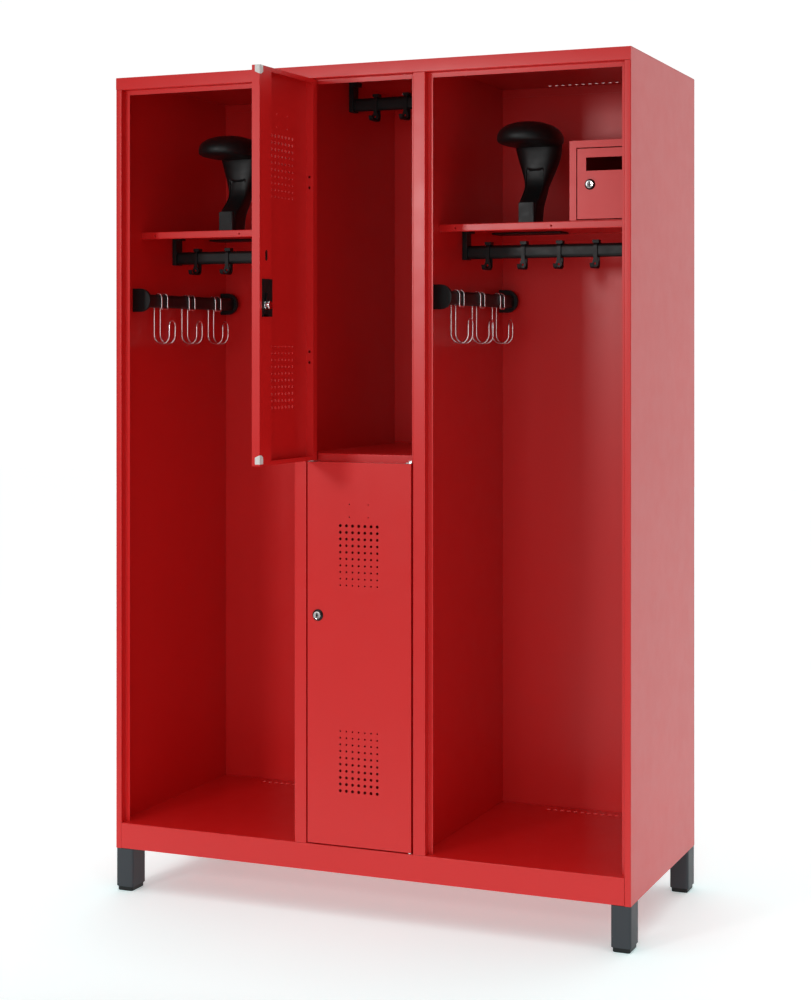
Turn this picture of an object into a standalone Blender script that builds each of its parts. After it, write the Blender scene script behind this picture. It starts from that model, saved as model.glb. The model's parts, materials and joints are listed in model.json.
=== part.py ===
"""A three-bay wardrobe locker of folded sheet steel on four legs.

Every static piece is modelled in cabinet coordinates: X from the left side, Y back from the
front plane, Z up from the floor. The cabinet empty carries them to the origin, which is the
middle of the floor area covered by the cabinet and its open upper door. Metres throughout.
"""
import math

import bmesh
import bpy
from mathutils import Matrix, Vector

# Cabinet
WIDTH = 1.200
DEPTH = 0.500
HEIGHT = 1.820
BODY_BOTTOM = 0.095
SHEET = 0.001
HALF = SHEET / 2
GAP = 0.0003
BEND = 0.0012
BACK_PANEL_Y = 0.4977
BACK_FLANGE = 0.012
TOP_BACK_FOLD = 0.020

# Front frame
SIDE_STILE = 0.014
STILES = ((0.4480, 0.4750), (0.7246, 0.7525))
RETURN = 0.020
LIP = 0.010
TOP_RAIL_BOTTOM = 1.7925
FLOOR_TOP = 0.152

# Shelves: height of the upper side and of the front fold
MIDDLE_SHELF_TOP = 0.9885
MIDDLE_SHELF_FOLD = 0.0305
HAT_SHELF_TOP = 1.480
HAT_SHELF_FOLD = 0.016
HAT_SHELF_Y = 0.106

# Legs and foot glides
LEG_X = 0.043
LEG_Y = 0.056
LEG_WALL = 0.0015
LEG_RADIUS = 0.006
LEG_BOTTOM = 0.010
GLIDE_INSET = 0.003
GLIDE_PLUG = 0.020

# Centre doors: x from the hinge edge, y from the outer face, z from the lower edge
DOOR_WIDTH = 0.2414
DOOR_THICK = 0.018
DOOR_HEIGHT = 0.816
DOOR_SIDE_GAP = 0.0044
UPPER_DOOR_Z = 0.9743
LOWER_DOOR_Z = 0.155
HINGE_BOX = 0.017
LOCK_LIP = 0.0475
END_LIP = 0.008
HINGE_X = 0.0046
HINGE_Y = 0.006
UPPER_DOOR_OPEN = math.radians(92.4)
PIN_RADIUS = 0.0025
PIN_HOLE = 0.0029
PIN_HEAD = 0.0045
PIN_DEPTH = 0.0105
PIN_GAP = 2 * GAP
COLLAR = 0.0016
LUG_THICK = 0.0015
LUG_TAB = 0.0048
LUG_REACH = (-0.006, 0.008)
LUG_FRONT = -0.005

# Locks: x from the lock edge of the door, z from the middle of its height
LOCK_FROM_EDGE = 0.0245
LOCK_FROM_MIDDLE = 0.080
PLUG_RADIUS = 0.0085
PLUG_HOLE = 0.0089
PLUG_FRONT = 0.0055
PLUG_TAIL = 0.008
CASE_WIDTH = 0.039
CASE_SHORT = 0.0235
CASE_LONG = 0.0533
CASE_BACK = 0.0195
CASE_NOTCH_RADIUS = 0.0115
CASE_NOTCH_DEPTH = 0.007
CAM_WIDTH = 0.010
CAM_THICK = 0.002

# Hanging rails and their coat hooks
TUBE_WIDE = 0.015
TUBE_TALL = 0.030
RAIL_Y = 0.255
SIDE_RAIL_Z = 1.4265
RAIL_UNDER_SHEET = 0.052
BRACKET_DEEP = 0.028
HOOK_WIDTH = 0.0085
HOOK_THICK = 0.003
HOOK_CLEARANCE = 0.0004
HOOK_BOTTOM = -0.0385
HOOK_REACH = -0.0330
HOOK_TIP = -0.0290
HOOK_EYE_Z = -0.0295
HOOK_EYE_RADIUS = 0.0075
HOOK_EYE_HOLE = 0.0026
HOOK_KNOB = (0.0072, 0.0085, 0.0068)
SIDE_HOOK_PITCH = 0.083
SIDE_HOOK_SHIFT = {"left": -0.003, "right": -0.005}
CENTRE_HOOK_PITCH = 0.074

# Side bars and their wire hooks, x from the bay's left wall
BAR_X = 0.030
BAR_Z = 1.322
BAR_FRONT = 0.067
BAR_REAR = 0.480
BAR_BRACKET = 0.008
WIRE_RADIUS = 0.00175
WIRE_SPREAD = 0.013
WIRE_TIP = (0.030, -0.058)
WIRE_BEND_Z = -0.077
WIRE_CLEARANCE = 0.0006
WIRE_CROSS = (0.0035, -0.0178)
WIRE_HOOKS_Y = (0.141, 0.265, 0.3895)

# Helmet holders, x from the bay's left wall
HOLDER_X = 0.164
HOLDER_Y = 0.225

# Valuables box
BOX_LEFT = 1.035
BOX_RIGHT = 1.198
BOX_BACK = 0.480
BOX_HEIGHT = 0.1667
BOX_FRAME = 0.017
BOX_DOOR_THICK = 0.012
BOX_DOOR_BOTTOM = 0.003
BOX_CLEARANCE = 0.0020
BOX_HINGE = 0.003
BOX_BOTTOM = HAT_SHELF_TOP + GAP
BOX_DOOR_WIDTH = BOX_RIGHT - BOX_LEFT - 2 * BOX_FRAME
BOX_DOOR_HEIGHT = BOX_HEIGHT - BOX_FRAME - BOX_DOOR_BOTTOM
BOX_LOCK_X = 0.101
BOX_LOCK_Z = 0.0717
BOX_SLOT = ((0.019, 0.1095), (0.1001, 0.1278))

RED = ("red_coating", (0.54, 0.035, 0.035, 1.0), 0.35, 0.0)
ANTHRACITE = ("anthracite_coating", (0.05, 0.055, 0.062, 1.0), 0.45, 0.0)
BLACK = ("black_plastic", (0.012, 0.012, 0.013, 1.0), 0.4, 0.0)
STEEL = ("bright_steel", (0.75, 0.76, 0.77, 1.0), 0.2, 1.0)
CHROME = ("chrome", (0.85, 0.86, 0.87, 1.0), 0.12, 1.0)


def finish(spec):
    """The finish's Principled material, made on first use."""
    name, colour, roughness, metallic = spec
    material = bpy.data.materials.get(name)
    if material is None:
        material = bpy.data.materials.new(name)
        material.use_nodes = True
        shader = material.node_tree.nodes["Principled BSDF"]
        shader.inputs["Base Color"].default_value = colour
        shader.inputs["Roughness"].default_value = roughness
        shader.inputs["Metallic"].default_value = metallic
    return material


def place(obj, parent, location=(0, 0, 0), turn=0.0):
    """Hang an object on its parent at a location, turned about Z."""
    obj.parent = parent
    obj.location = location
    obj.rotation_euler = (0, 0, turn)
    return obj


def empty(name, parent, location, turn=0.0):
    """A guide that carries what is parented to it."""
    obj = bpy.data.objects.new(name, None)
    bpy.context.collection.objects.link(obj)
    return place(obj, parent, location, turn)


def solid(name, rings, spec, smooth=False):
    """A closed body through rings of equal point count, capped at both ends."""
    bm = bmesh.new()
    loops = [[bm.verts.new(point) for point in ring] for ring in rings]
    count = len(loops[0])
    for lower, upper in zip(loops, loops[1:]):
        for i in range(count):
            j = (i + 1) % count
            bm.faces.new((lower[i], lower[j], upper[j], upper[i]))
    bm.faces.new(loops[0])
    bm.faces.new(loops[-1])
    bmesh.ops.recalc_face_normals(bm, faces=bm.faces)
    mesh = bpy.data.meshes.new(name)
    bm.to_mesh(mesh)
    bm.free()
    if smooth:
        mesh.shade_smooth()
        mesh.set_sharp_from_angle(angle=math.radians(35))
    mesh.materials.append(finish(spec))
    obj = bpy.data.objects.new(name, mesh)
    bpy.context.collection.objects.link(obj)
    return obj


def prism(name, outline, axis, start, end, spec, smooth=False):
    """The outline, in the plane square to the axis, swept from start to end along it."""
    lift = {
        "X": lambda u, v, w: (w, u, v),
        "Y": lambda u, v, w: (u, w, v),
        "Z": lambda u, v, w: (u, v, w),
    }[axis]
    rings = [[lift(u, v, w) for u, v in outline] for w in (start, end)]
    return solid(name, rings, spec, smooth)


def block(name, low, high, spec):
    """A box between two opposite corners."""
    outline = [(low[0], low[1]), (high[0], low[1]), (high[0], high[1]), (low[0], high[1])]
    return prism(name, outline, "Z", low[2], high[2], spec)


def circle(radius, points=16, centre=(0, 0)):
    """Points of a circle whose flats touch the given radius."""
    outer = radius / math.cos(math.pi / points)
    angles = [2 * math.pi * (i + 0.5) / points for i in range(points)]
    return [(centre[0] + outer * math.cos(a), centre[1] + outer * math.sin(a)) for a in angles]


def rounded_rectangle(centre, half_x, half_y, radius, steps=3):
    """Outline of a rectangle with arcs at its corners."""
    points = []
    for quarter, (sx, sy) in enumerate(((1, 1), (-1, 1), (-1, -1), (1, -1))):
        cx = centre[0] + sx * (half_x - radius)
        cy = centre[1] + sy * (half_y - radius)
        for step in range(steps + 1):
            angle = math.pi / 2 * (quarter + step / steps)
            points.append((cx + radius * math.cos(angle), cy + radius * math.sin(angle)))
    return points


def stadium(centre, wide, tall, steps=6):
    """Outline of an upright oval tube: two half circles joined by flats."""
    radius = wide / 2
    points = []
    for side, first in ((1, 0.0), (-1, math.pi)):
        for step in range(steps + 1):
            angle = first + math.pi * step / steps
            x = centre[0] + radius * math.cos(angle)
            y = centre[1] + side * (tall / 2 - radius) + radius * math.sin(angle)
            points.append((x, y))
    return points


def strip(path, thickness, radii, steps=2):
    """Outline of a bent strip: path is its centre line, radii are those of its bends."""
    path = [Vector(point) for point in path]
    if isinstance(radii, float):
        radii = [radii] * (len(path) - 2)
    samples = []
    for before, corner, after, radius in zip(path, path[1:], path[2:], radii):
        inward = (corner - before).normalized()
        outward = (after - corner).normalized()
        turn = math.atan2(inward.cross(outward), inward.dot(outward))
        side = math.copysign(1.0, turn)
        normal = Vector((-inward.y, inward.x))
        start = corner - inward * radius * math.tan(abs(turn) / 2)
        centre = start + side * radius * normal
        for step in range(steps + 1):
            spun = Matrix.Rotation(turn * step / steps, 2) @ normal
            samples.append((centre - side * radius * spun, spun))
    first = Vector((path[0].y - path[1].y, path[1].x - path[0].x)).normalized()
    last = Vector((path[-2].y - path[-1].y, path[-1].x - path[-2].x)).normalized()
    samples = [(path[0], first)] + samples + [(path[-1], last)]
    left = [point + normal * thickness / 2 for point, normal in samples]
    right = [point - normal * thickness / 2 for point, normal in samples]
    return [tuple(point) for point in left + right[::-1]]


def combine(obj, tool, operation):
    """Add a Boolean with a hidden tool that shares the object's coordinates."""
    modifier = obj.modifiers.new(tool.name, "BOOLEAN")
    modifier.operation = operation
    modifier.solver = "EXACT"
    modifier.object = tool
    tool.parent = obj
    tool.hide_render = True
    tool.display_type = "WIRE"


def carve(obj, *tools):
    """Cut the tools' shapes out of the object."""
    for tool in tools:
        combine(obj, tool, "DIFFERENCE")
    return obj


def weld(obj, *tools):
    """Join the tools' shapes to the object as one body."""
    for tool in tools:
        combine(obj, tool, "UNION")
    return obj


def mirrored(points, about=WIDTH):
    """Outline points reflected in X about the middle of the given width."""
    return [(about - x, y) for x, y in points]


# ---------------------------------------------------------------------------------- carcass

def side_panel(name, right):
    """Side sheet folded at the front into a stile with a stop lip, and back into a flange."""
    path = [
        (SIDE_STILE + LIP, RETURN - HALF),
        (SIDE_STILE - HALF, RETURN - HALF),
        (SIDE_STILE - HALF, HALF),
        (HALF, HALF),
        (HALF, DEPTH - HALF),
        (BACK_FLANGE, DEPTH - HALF),
    ]
    notch = [
        (-0.001, -0.001),
        (SIDE_STILE + 2 * LIP, -0.001),
        (SIDE_STILE + 2 * LIP, RETURN + GAP),
        (SHEET, RETURN + GAP),
        (SHEET, SHEET + GAP),
        (-0.001, SHEET + GAP),
    ]
    outline = strip(path, SHEET, BEND)
    if right:
        outline, notch = mirrored(outline), mirrored(notch)
    panel = prism(name, outline, "Z", BODY_BOTTOM, HEIGHT - SHEET - GAP, RED)
    cutter = prism(name + "_notch", notch, "Z", TOP_RAIL_BOTTOM - GAP, HEIGHT + 0.01, RED)
    return carve(panel, cutter)


def top_panel():
    """Top sheet with the front rail, a return and a lip that is notched at each stile."""
    path = [
        (RETURN - HALF, TOP_RAIL_BOTTOM - LIP),
        (RETURN - HALF, TOP_RAIL_BOTTOM + HALF),
        (HALF, TOP_RAIL_BOTTOM + HALF),
        (HALF, HEIGHT - HALF),
        (BACK_PANEL_Y - GAP - HALF, HEIGHT - HALF),
        (BACK_PANEL_Y - GAP - HALF, HEIGHT - TOP_BACK_FOLD),
    ]
    panel = prism("top_panel", strip(path, SHEET, BEND), "X", 0.0, WIDTH, RED)
    spans = [(-0.001, SIDE_STILE), *STILES, (WIDTH - SIDE_STILE, WIDTH + 0.001)]
    for number, (left, right) in enumerate(spans):
        low = (left - LIP - GAP, RETURN - 0.0028, TOP_RAIL_BOTTOM - LIP - 0.002)
        high = (right + LIP + GAP, RETURN + 0.0008, TOP_RAIL_BOTTOM - 0.0001)
        carve(panel, block(f"top_notch_{number}", low, high, RED))
    ends = ((SHEET + 0.0001, RETURN + GAP), (BACK_PANEL_Y - 0.003, BACK_PANEL_Y))
    for side, edge in (("left", 0.0), ("right", WIDTH)):
        for end, (front, back) in zip(("front", "back"), ends):
            low = (edge - SHEET - GAP, front, TOP_RAIL_BOTTOM - 2 * LIP)
            high = (edge + SHEET + GAP, back, HEIGHT - SHEET - GAP)
            carve(panel, block(f"top_notch_{end}_{side}", low, high, RED))
    return panel


def floor_panel():
    """Floor sheet with the front rail below it, notched around the side stiles."""
    back = BACK_PANEL_Y - GAP - HALF
    path = [
        (RETURN, BODY_BOTTOM + HALF),
        (HALF, BODY_BOTTOM + HALF),
        (HALF, FLOOR_TOP - HALF),
        (back, FLOOR_TOP - HALF),
        (back, BODY_BOTTOM + HALF),
    ]
    start = SHEET + GAP
    panel = prism("floor_panel", strip(path, SHEET, BEND), "X", start, WIDTH - start, RED)
    step = RETURN - SHEET - GAP
    corner = [
        (0.0, -0.001),
        (SIDE_STILE + GAP, -0.001),
        (SIDE_STILE + GAP, step),
        (SIDE_STILE + LIP + GAP, step),
        (SIDE_STILE + LIP + GAP, RETURN + GAP),
        (0.0, RETURN + GAP),
    ]
    for name, outline in (("floor_notch_left", corner), ("floor_notch_right", mirrored(corner))):
        carve(panel, prism(name, outline, "Z", BODY_BOTTOM - 0.01, FLOOR_TOP + 0.01, RED))
    return panel


def back_panel():
    """Flat sheet between the side panels, inside their back flanges."""
    low = (SHEET + GAP, BACK_PANEL_Y, BODY_BOTTOM + GAP)
    high = (WIDTH - SHEET - GAP, BACK_PANEL_Y + SHEET, HEIGHT)
    return block("back_panel", low, high, RED)


def web_x(stile):
    """Middle of a partition's sheet, which stands in the middle of its stile."""
    return sum(stile) / 2


def partition(name, stile):
    """Hat-shaped front stile with a stop lip on both sides, and the sheet behind it."""
    left, right = stile
    path = [
        (left - LIP, RETURN - HALF),
        (left + HALF, RETURN - HALF),
        (left + HALF, HALF),
        (right - HALF, HALF),
        (right - HALF, RETURN - HALF),
        (right + LIP, RETURN - HALF),
    ]
    bottom = FLOOR_TOP + GAP
    top = HEIGHT - SHEET - GAP
    hat = prism(name, strip(path, SHEET, BEND), "Z", bottom, TOP_RAIL_BOTTOM - GAP, RED)
    middle = web_x(stile)
    low = (middle - HALF, HALF, bottom)
    high = (middle + HALF, BACK_PANEL_Y - GAP, top)
    web = block(name + "_web", low, high, RED)
    low = (middle - 0.002, BACK_PANEL_Y - SHEET - 2 * GAP, HEIGHT - TOP_BACK_FOLD - GAP)
    high = (middle + 0.002, BACK_PANEL_Y, top + 0.01)
    carve(web, block(name + "_back_notch", low, high, RED))
    low = (middle - 0.002, -0.001, TOP_RAIL_BOTTOM - GAP)
    high = (middle + 0.002, RETURN + GAP, top + 0.01)
    return carve(weld(hat, web), block(name + "_notch", low, high, RED))


def shelf(name, left, right, front, top, fold, hem, back_fold):
    """Sheet with its front edge folded down and hemmed, and its back edge folded down."""
    back = BACK_PANEL_Y - GAP - HALF
    path = [
        (front + HALF + hem, top - fold + HALF),
        (front + HALF, top - fold + HALF),
        (front + HALF, top - HALF),
        (back, top - HALF),
        (back, top - back_fold),
    ]
    return prism(name, strip(path, SHEET, BEND), "X", left + GAP, right - GAP, RED)


# ------------------------------------------------------------------------------------- base

def leg(name, x, y):
    """Rectangular tube with a closed top, open below."""
    centre = (x + LEG_X / 2, y + LEG_Y / 2)
    outline = rounded_rectangle(centre, LEG_X / 2, LEG_Y / 2, LEG_RADIUS)
    tube = prism(name, outline, "Z", LEG_BOTTOM, BODY_BOTTOM - GAP, ANTHRACITE)
    inner = rounded_rectangle(
        centre, LEG_X / 2 - LEG_WALL, LEG_Y / 2 - LEG_WALL, LEG_RADIUS - LEG_WALL)
    top = BODY_BOTTOM - GAP - LEG_WALL
    return carve(tube, prism(name + "_bore", inner, "Z", 0.0, top, ANTHRACITE))


def glide(name, x, y):
    """Plastic foot with a plug that sits in the leg."""
    centre = (x + LEG_X / 2, y + LEG_Y / 2)
    plug = LEG_WALL + GAP
    levels = (
        (0.0, GLIDE_INSET + 0.001),
        (0.001, GLIDE_INSET),
        (LEG_BOTTOM - GAP, GLIDE_INSET),
        (LEG_BOTTOM - GAP, plug),
        (LEG_BOTTOM + GLIDE_PLUG, plug),
    )
    rings = []
    for z, inset in levels:
        half_x, half_y = LEG_X / 2 - inset, LEG_Y / 2 - inset
        ring = rounded_rectangle(centre, half_x, half_y, LEG_RADIUS - LEG_WALL - GAP)
        rings.append([(px, py, z) for px, py in ring])
    return solid(name, rings, BLACK)


# ------------------------------------------------------------------------------ doors, locks

class DoorPlan:
    """Turns door coordinates into those of the hinge, for a left or a right door."""

    def __init__(self, hand, hinge=(HINGE_X, HINGE_Y)):
        self.hand = hand
        self.hinge = hinge

    def at(self, x, y, z=0.0):
        """Point in hinge coordinates."""
        return (self.hand * (x - self.hinge[0]), y - self.hinge[1], z)

    def block(self, name, low, high, spec=RED):
        """Box between two opposite corners given in door coordinates."""
        a, b = self.at(*low), self.at(*high)
        low = tuple(min(pair) for pair in zip(a, b))
        high = tuple(max(pair) for pair in zip(a, b))
        return block(name, low, high, spec)


def drill(name, centre, radius, axis, start, end, points=24):
    """Round cutter along an axis through a centre in the plane square to it."""
    return prism(name, circle(radius, points, centre), axis, start, end, STEEL)


def door(name, plan, lock_z, case_low, case_high):
    """Folded pan with a closed box along the hinge side and a wide lip on the lock side."""
    inner = DOOR_THICK - SHEET
    lip_start = DOOR_WIDTH - LOCK_LIP
    panel = plan.block(name, (0, 0, 0), (DOOR_WIDTH, DOOR_THICK, DOOR_HEIGHT))
    top = DOOR_HEIGHT - SHEET
    pockets = (
        ("hinge_box", (SHEET, SHEET, SHEET), (HINGE_BOX - SHEET, inner, top)),
        ("pan", (HINGE_BOX, SHEET, SHEET), (DOOR_WIDTH - SHEET, inner, top)),
        ("window", (HINGE_BOX, inner - SHEET, END_LIP + SHEET),
         (lip_start, DOOR_THICK + SHEET, DOOR_HEIGHT - END_LIP - SHEET)),
        ("case_window", (lip_start - 0.003, inner - SHEET, case_low - 0.0005),
         (DOOR_WIDTH - 0.0093, DOOR_THICK + SHEET, case_high + 0.0005)),
    )
    for label, low, high in pockets:
        carve(panel, plan.block(f"{name}_{label}", low, high))
    for label, z in (("foot", 0.0), ("head", DOOR_HEIGHT)):
        carve(panel, drill(f"{name}_{label}_hole", (0, 0), PIN_HOLE, "Z", z - 0.002, z + 0.002, 12))
    x = plan.at(DOOR_WIDTH - LOCK_FROM_EDGE, 0)[0]
    carve(panel, drill(f"{name}_lock_hole", (x, lock_z), PLUG_HOLE, "Y",
                       -HINGE_Y - 0.002, -HINGE_Y + 0.003))
    return panel


def lock_case(name, plan, lock_z, case_low, case_high):
    """Lock body in the door's lip, bored for the lock plug."""
    left = DOOR_WIDTH - LOCK_LIP - 0.0018
    low = (left, SHEET + GAP, case_low)
    high = (left + CASE_WIDTH, CASE_BACK, case_high)
    case = plan.block(name, low, high, BLACK)
    x = plan.at(DOOR_WIDTH - LOCK_FROM_EDGE, 0)[0]
    bore = drill(name + "_bore", (x, lock_z), PLUG_HOLE, "Y", -HINGE_Y, CASE_BACK)
    reach = CASE_NOTCH_RADIUS - CASE_NOTCH_DEPTH
    short_at_low = lock_z - case_low < case_high - lock_z
    notch_z = case_low - reach if short_at_low else case_high + reach
    notch = drill(name + "_notch", (x, notch_z), CASE_NOTCH_RADIUS, "Y", -HINGE_Y, CASE_BACK)
    return carve(case, bore, notch)


def lock_plug(name, front, back, cam_length, cam_side):
    """Cylinder along Y with a cam near its back, which points up or down when unlocked."""
    outline = circle(PLUG_RADIUS, 24)
    plug = prism(name, outline, "Y", front, back + PLUG_TAIL, CHROME, smooth=True)
    ends = sorted((-cam_side * CAM_WIDTH / 2, cam_side * cam_length))
    low = (-CAM_WIDTH / 2, back - CAM_THICK / 2, ends[0])
    high = (CAM_WIDTH / 2, back + CAM_THICK / 2, ends[1])
    return weld(plug, block(name + "_cam", low, high, CHROME))


def pivot(name, head, tip):
    """Pin with a collar: head is the collar's outer level, tip the pin's free end."""
    side = math.copysign(1.0, tip - head)
    collar = head + side * COLLAR
    levels = ((head, PIN_HEAD), (collar, PIN_HEAD), (collar, PIN_RADIUS), (tip, PIN_RADIUS))
    rings = [[(x, y, z) for x, y in circle(radius, 12)] for z, radius in levels]
    return solid(name, rings, STEEL)


def middle_pivot(name, hand, pin_up):
    """Lug plate in the gap between the doors, with the pin of one door on it.

    The lug's coordinates start at the pin; hand points from the stile into the bay.
    """
    lip_end = STILES[0][1] + LIP - (STILES[0][1] + DOOR_SIDE_GAP + HINGE_X) + PIN_GAP
    back = RETURN - GAP - HINGE_Y
    outer, inner = LUG_REACH
    shape = [
        (outer, LUG_FRONT),
        (inner, LUG_FRONT),
        (inner, back),
        (lip_end, back),
        (lip_end, back - LUG_THICK),
        (outer, back - LUG_THICK),
    ]
    lug = prism(name, [(hand * x, y) for x, y in shape], "Z", 0.0, LUG_THICK, STEEL)
    ends = (LUG_THICK - LUG_TAB, LUG_THICK) if pin_up else (0.0, LUG_TAB)
    xs = sorted((hand * lip_end, hand * inner))
    tab = block(name + "_tab", (xs[0], back - COLLAR, ends[0]), (xs[1], back, ends[1]), STEEL)
    collar = LUG_THICK + PIN_GAP if pin_up else -PIN_GAP
    tip = collar + (PIN_DEPTH if pin_up else -PIN_DEPTH)
    middle = LUG_THICK / 2
    levels = ((middle, PIN_HEAD), (collar, PIN_HEAD), (collar, PIN_RADIUS), (tip, PIN_RADIUS))
    rings = [[(x, y, z) for x, y in circle(radius, 12)] for z, radius in levels]
    return weld(lug, tab, solid(name + "_pin", rings, STEEL))


# --------------------------------------------------------------------------- rails and hooks

def hanging_rail(name, left, right, z, top):
    """Oval tube between two stepped brackets that hang from the sheet above."""
    outline = stadium((RAIL_Y, z), TUBE_WIDE, TUBE_TALL)
    rail = prism(name, outline, "X", left + 0.004, right - 0.004, BLACK, smooth=True)
    bottom = z - TUBE_TALL / 2 - 0.0015
    ceiling = top - GAP
    step = [
        (GAP, bottom),
        (0.011, bottom),
        (0.011, ceiling - 0.010),
        (0.020, ceiling - 0.010),
        (0.020, ceiling),
        (GAP, ceiling),
    ]
    y = (RAIL_Y - BRACKET_DEEP / 2, RAIL_Y + BRACKET_DEEP / 2)
    first = prism(name + "_left", [(left + u, v) for u, v in step], "Y", *y, BLACK)
    second = prism(name + "_right", [(right - u, v) for u, v in step], "Y", *y, BLACK)
    return weld(rail, first, second)


def coat_hook(name):
    """Strap round the rail with a knob on top, an eye in front and a J towards the front."""
    side = TUBE_WIDE / 2 + HOOK_CLEARANCE + HOOK_THICK / 2
    tall = TUBE_TALL / 2 + HOOK_CLEARANCE + HOOK_THICK / 2
    path = [
        (HOOK_REACH - 0.002, HOOK_TIP),
        (HOOK_REACH, HOOK_BOTTOM),
        (side, HOOK_BOTTOM),
        (side, tall),
        (-side, tall),
        (-side, -tall - HOOK_THICK),
    ]
    outline = strip(path, HOOK_THICK, [0.0060, 0.0095, 0.0085, 0.0085], steps=4)
    width = HOOK_WIDTH / 2
    strap = prism(name, outline, "X", -width, width, BLACK, smooth=True)
    neck_z = -tall - HOOK_THICK + 0.0005
    ring = [(HOOK_EYE_RADIUS * math.cos(a), HOOK_EYE_Z + HOOK_EYE_RADIUS * math.sin(a))
            for a in [math.radians(150 + 240 * step / 16) for step in range(17)]]
    ring += [(width, neck_z), (-width, neck_z)]
    front = -side - HOOK_THICK * 0.7
    eye = prism(name + "_eye", ring, "Y", front, -side + HOOK_THICK * 0.45, BLACK)
    half_x, half_y, rise = HOOK_KNOB
    start = TUBE_TALL / 2 + HOOK_CLEARANCE + 0.0001
    knob = block(name + "_knob", (-half_x, -half_y, start), (half_x, half_y, start + rise), BLACK)
    hook = weld(strap, eye, knob)
    hole = drill(name + "_hole", (0, HOOK_EYE_Z), HOOK_EYE_HOLE, "Y", front - 0.001, 0.0, 12)
    return carve(hook, hole)


def side_bar(name, wall):
    """Oval tube along the wall between two D-shaped brackets."""
    centre = (wall + BAR_X, BAR_Z)
    outline = stadium(centre, TUBE_WIDE, TUBE_TALL)
    bar = prism(name, outline, "Y", BAR_FRONT + 0.004, BAR_REAR - 0.004, BLACK, smooth=True)
    radius = 0.0265
    nose = wall + 0.0195
    arc = [math.pi * (step / 10 - 0.5) for step in range(11)]
    shape = [(nose + radius * math.cos(a), BAR_Z + 0.0015 + radius * math.sin(a)) for a in arc]
    shape += [(wall + GAP, shape[-1][1]), (wall + GAP, shape[0][1])]
    front = (BAR_FRONT, BAR_FRONT + BAR_BRACKET)
    rear = (BAR_REAR - BAR_BRACKET, BAR_REAR)
    return weld(bar, prism(name + "_front", shape, "Y", *front, BLACK),
                prism(name + "_rear", shape, "Y", *rear, BLACK))


def arc(centre, radius, first, last, steps):
    """Points of an arc, angles in degrees."""
    angles = [math.radians(first + (last - first) * step / steps) for step in range(steps + 1)]
    return [(centre[0] + radius * math.cos(a), centre[1] + radius * math.sin(a)) for a in angles]


def wire_hook(name):
    """One closed wire: twin strands over the bar, joined at the tip and under the bar.

    Coordinates start at the middle of the bar: X away from the wall, Z up.
    """
    over = TUBE_WIDE / 2 + WIRE_RADIUS + WIRE_CLEARANCE
    shoulder = TUBE_TALL / 2 - TUBE_WIDE / 2
    tip_x, tip_z = WIRE_TIP
    cross_x, cross_z = WIRE_CROSS
    strand = [(tip_x, tip_z)]
    strand += arc(((tip_x - over) / 2, WIRE_BEND_Z), (tip_x + over) / 2, 0, -180, 8)
    strand += arc((0, shoulder), over, 180, 0, 6)
    strand += [(over, -shoulder - 0.004), (over - 0.002, cross_z + WIRE_RADIUS - 0.0002),
               (cross_x + 0.001, cross_z)]
    tip = [(tip_x, y, tip_z + 0.001 + z) for y, z in arc((0, 0), WIRE_SPREAD, 180, 0, 6)]
    near = [(x, WIRE_SPREAD, z) for x, z in strand]
    inner = WIRE_SPREAD - 0.003
    cross = [(cross_x, inner, cross_z), (cross_x, -inner, cross_z)]
    far = [(x, -WIRE_SPREAD, z) for x, z in reversed(strand)]
    route = tip + near + cross + far
    curve = bpy.data.curves.new(name, "CURVE")
    curve.dimensions = "3D"
    curve.bevel_depth = WIRE_RADIUS
    curve.bevel_resolution = 1
    spline = curve.splines.new("POLY")
    spline.points.add(len(route) - 1)
    for point, spot in zip(spline.points, route):
        point.co = (*spot, 1.0)
    spline.use_cyclic_u = True
    curve.materials.append(finish(STEEL))
    obj = bpy.data.objects.new(name, curve)
    bpy.context.collection.objects.link(obj)
    return obj


def helmet_holder(name, wall):
    """Moulded stand with a narrow foot, a flaring neck and a domed head."""
    base = HAT_SHELF_TOP + GAP
    levels = (
        # height, shift to the rear, half width, half depth, corner radius
        (0.0000, 0.0030, 0.0203, 0.0285, 0.006),
        (0.0450, 0.0110, 0.0215, 0.0290, 0.007),
        (0.0713, 0.0323, 0.0233, 0.0256, 0.009),
        (0.0870, 0.0453, 0.0234, 0.0234, 0.010),
        (0.1067, 0.0541, 0.0291, 0.0268, 0.014),
        (0.1283, 0.0595, 0.0374, 0.0310, 0.019),
        (0.1561, 0.0625, 0.0472, 0.0350, 0.026),
        (0.1740, 0.0620, 0.0510, 0.0360, 0.028),
        (0.1755, 0.0030, 0.0600, 0.0800, 0.045),
        (0.1890, 0.0030, 0.0685, 0.0900, 0.050),
        (0.2090, 0.0030, 0.0620, 0.0830, 0.050),
        (0.2210, 0.0030, 0.0480, 0.0660, 0.045),
        (0.2270, 0.0030, 0.0280, 0.0440, 0.026),
    )
    rings = []
    for height, shift, half_x, half_y, radius in levels:
        centre = (wall + HOLDER_X, HOLDER_Y + shift)
        outline = rounded_rectangle(centre, half_x, half_y, radius, steps=4)
        rings.append([(x, y, base + height) for x, y in outline])
    return solid(name, rings, BLACK, smooth=True)


# ---------------------------------------------------------------------------- valuables box

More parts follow.
